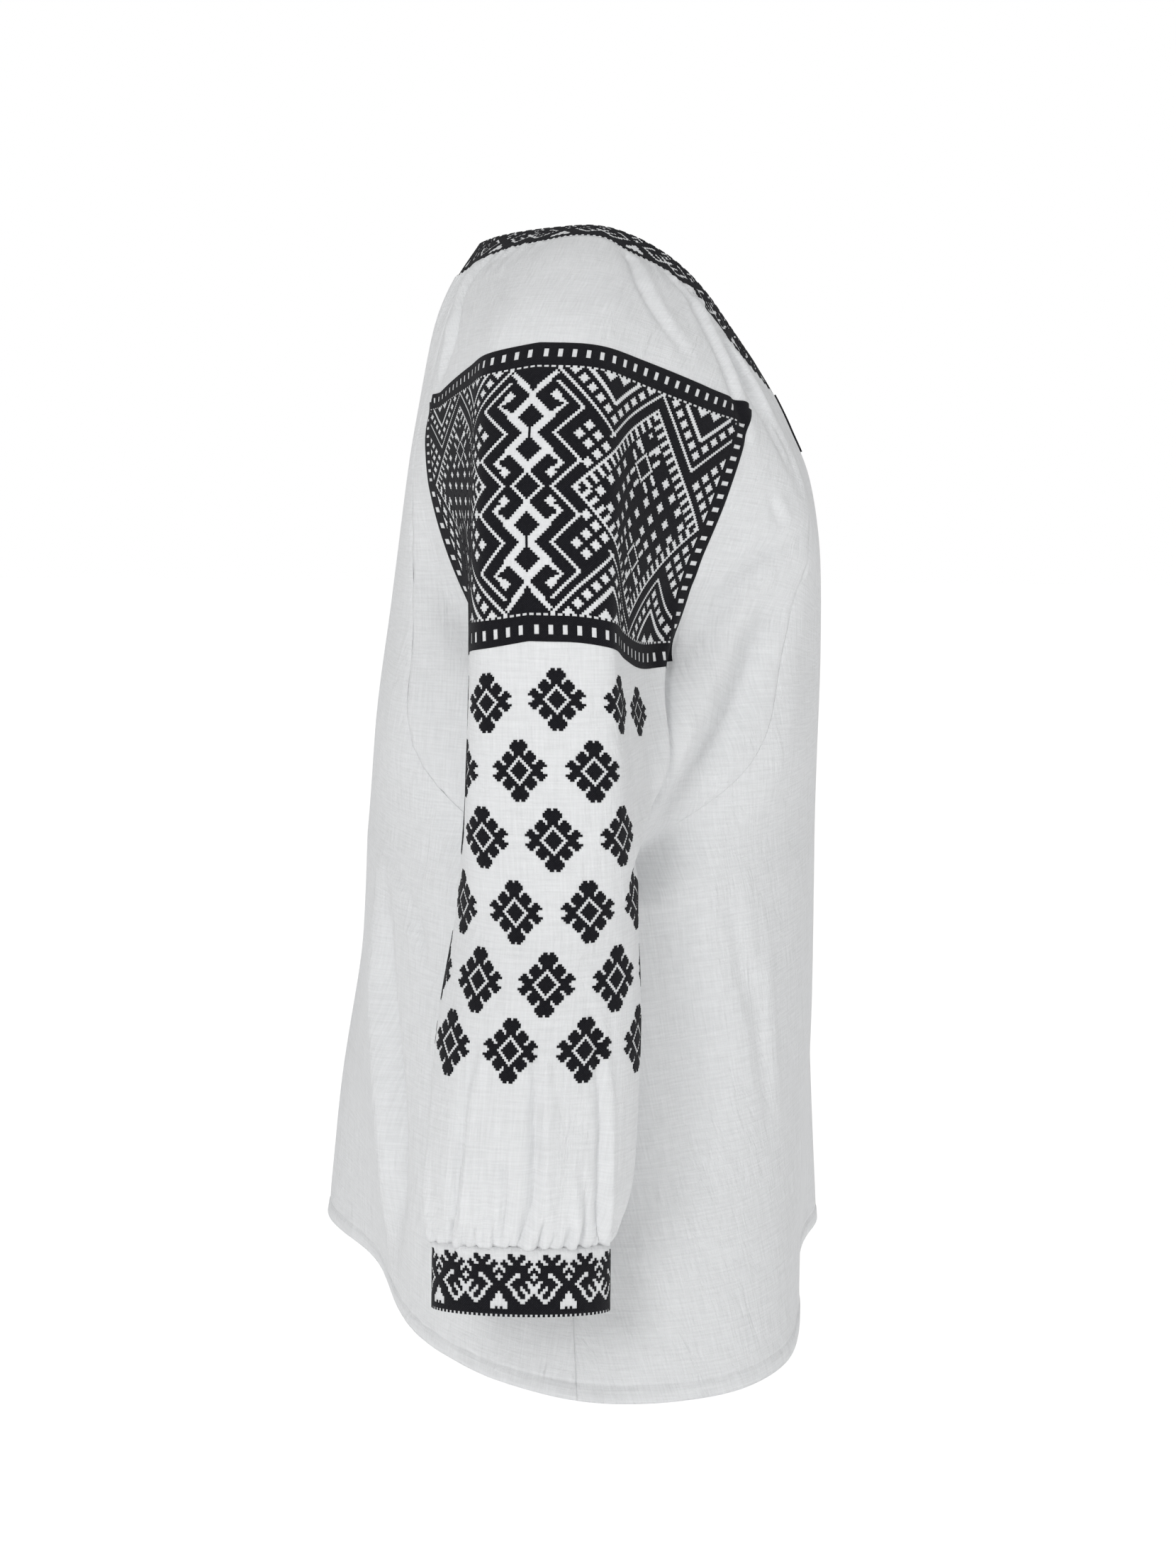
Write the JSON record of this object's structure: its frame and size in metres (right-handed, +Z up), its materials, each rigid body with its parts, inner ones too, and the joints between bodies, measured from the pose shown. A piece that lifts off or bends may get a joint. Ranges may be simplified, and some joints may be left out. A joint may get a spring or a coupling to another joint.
{
  "type": "folk blouse",
  "caption": "Gathered round-neck folk blouse with long raglan-like sleeves, narrow cuffs, a short front slit and an open flared hem, worn shape with no wearer.",
  "frame": {"origin": "midway between the shoulders at the height of the neck edge beside the neck, where the wearer's shoulders hold the blouse", "axes": "+Z up, the front faces -Y, the wearer's right is -X"},
  "size_m": [0.6794, 0.3534, 0.6878],
  "materials": {
    "white_cloth": "white plain-weave cotton and linen cloth, crinkled, matt",
    "black_stitch": "black cotton counted-thread embroidery on white cloth, matt"
  },
  "bodies": {
    "root": {"front_panel": "white_cloth", "back_panel": "white_cloth", "sleeve_right": "white_cloth", "sleeve_left": "white_cloth", "neck_band": "black_stitch", "cuff_right": "black_stitch", "cuff_left": "black_stitch"}
  },
  "joints": []
}
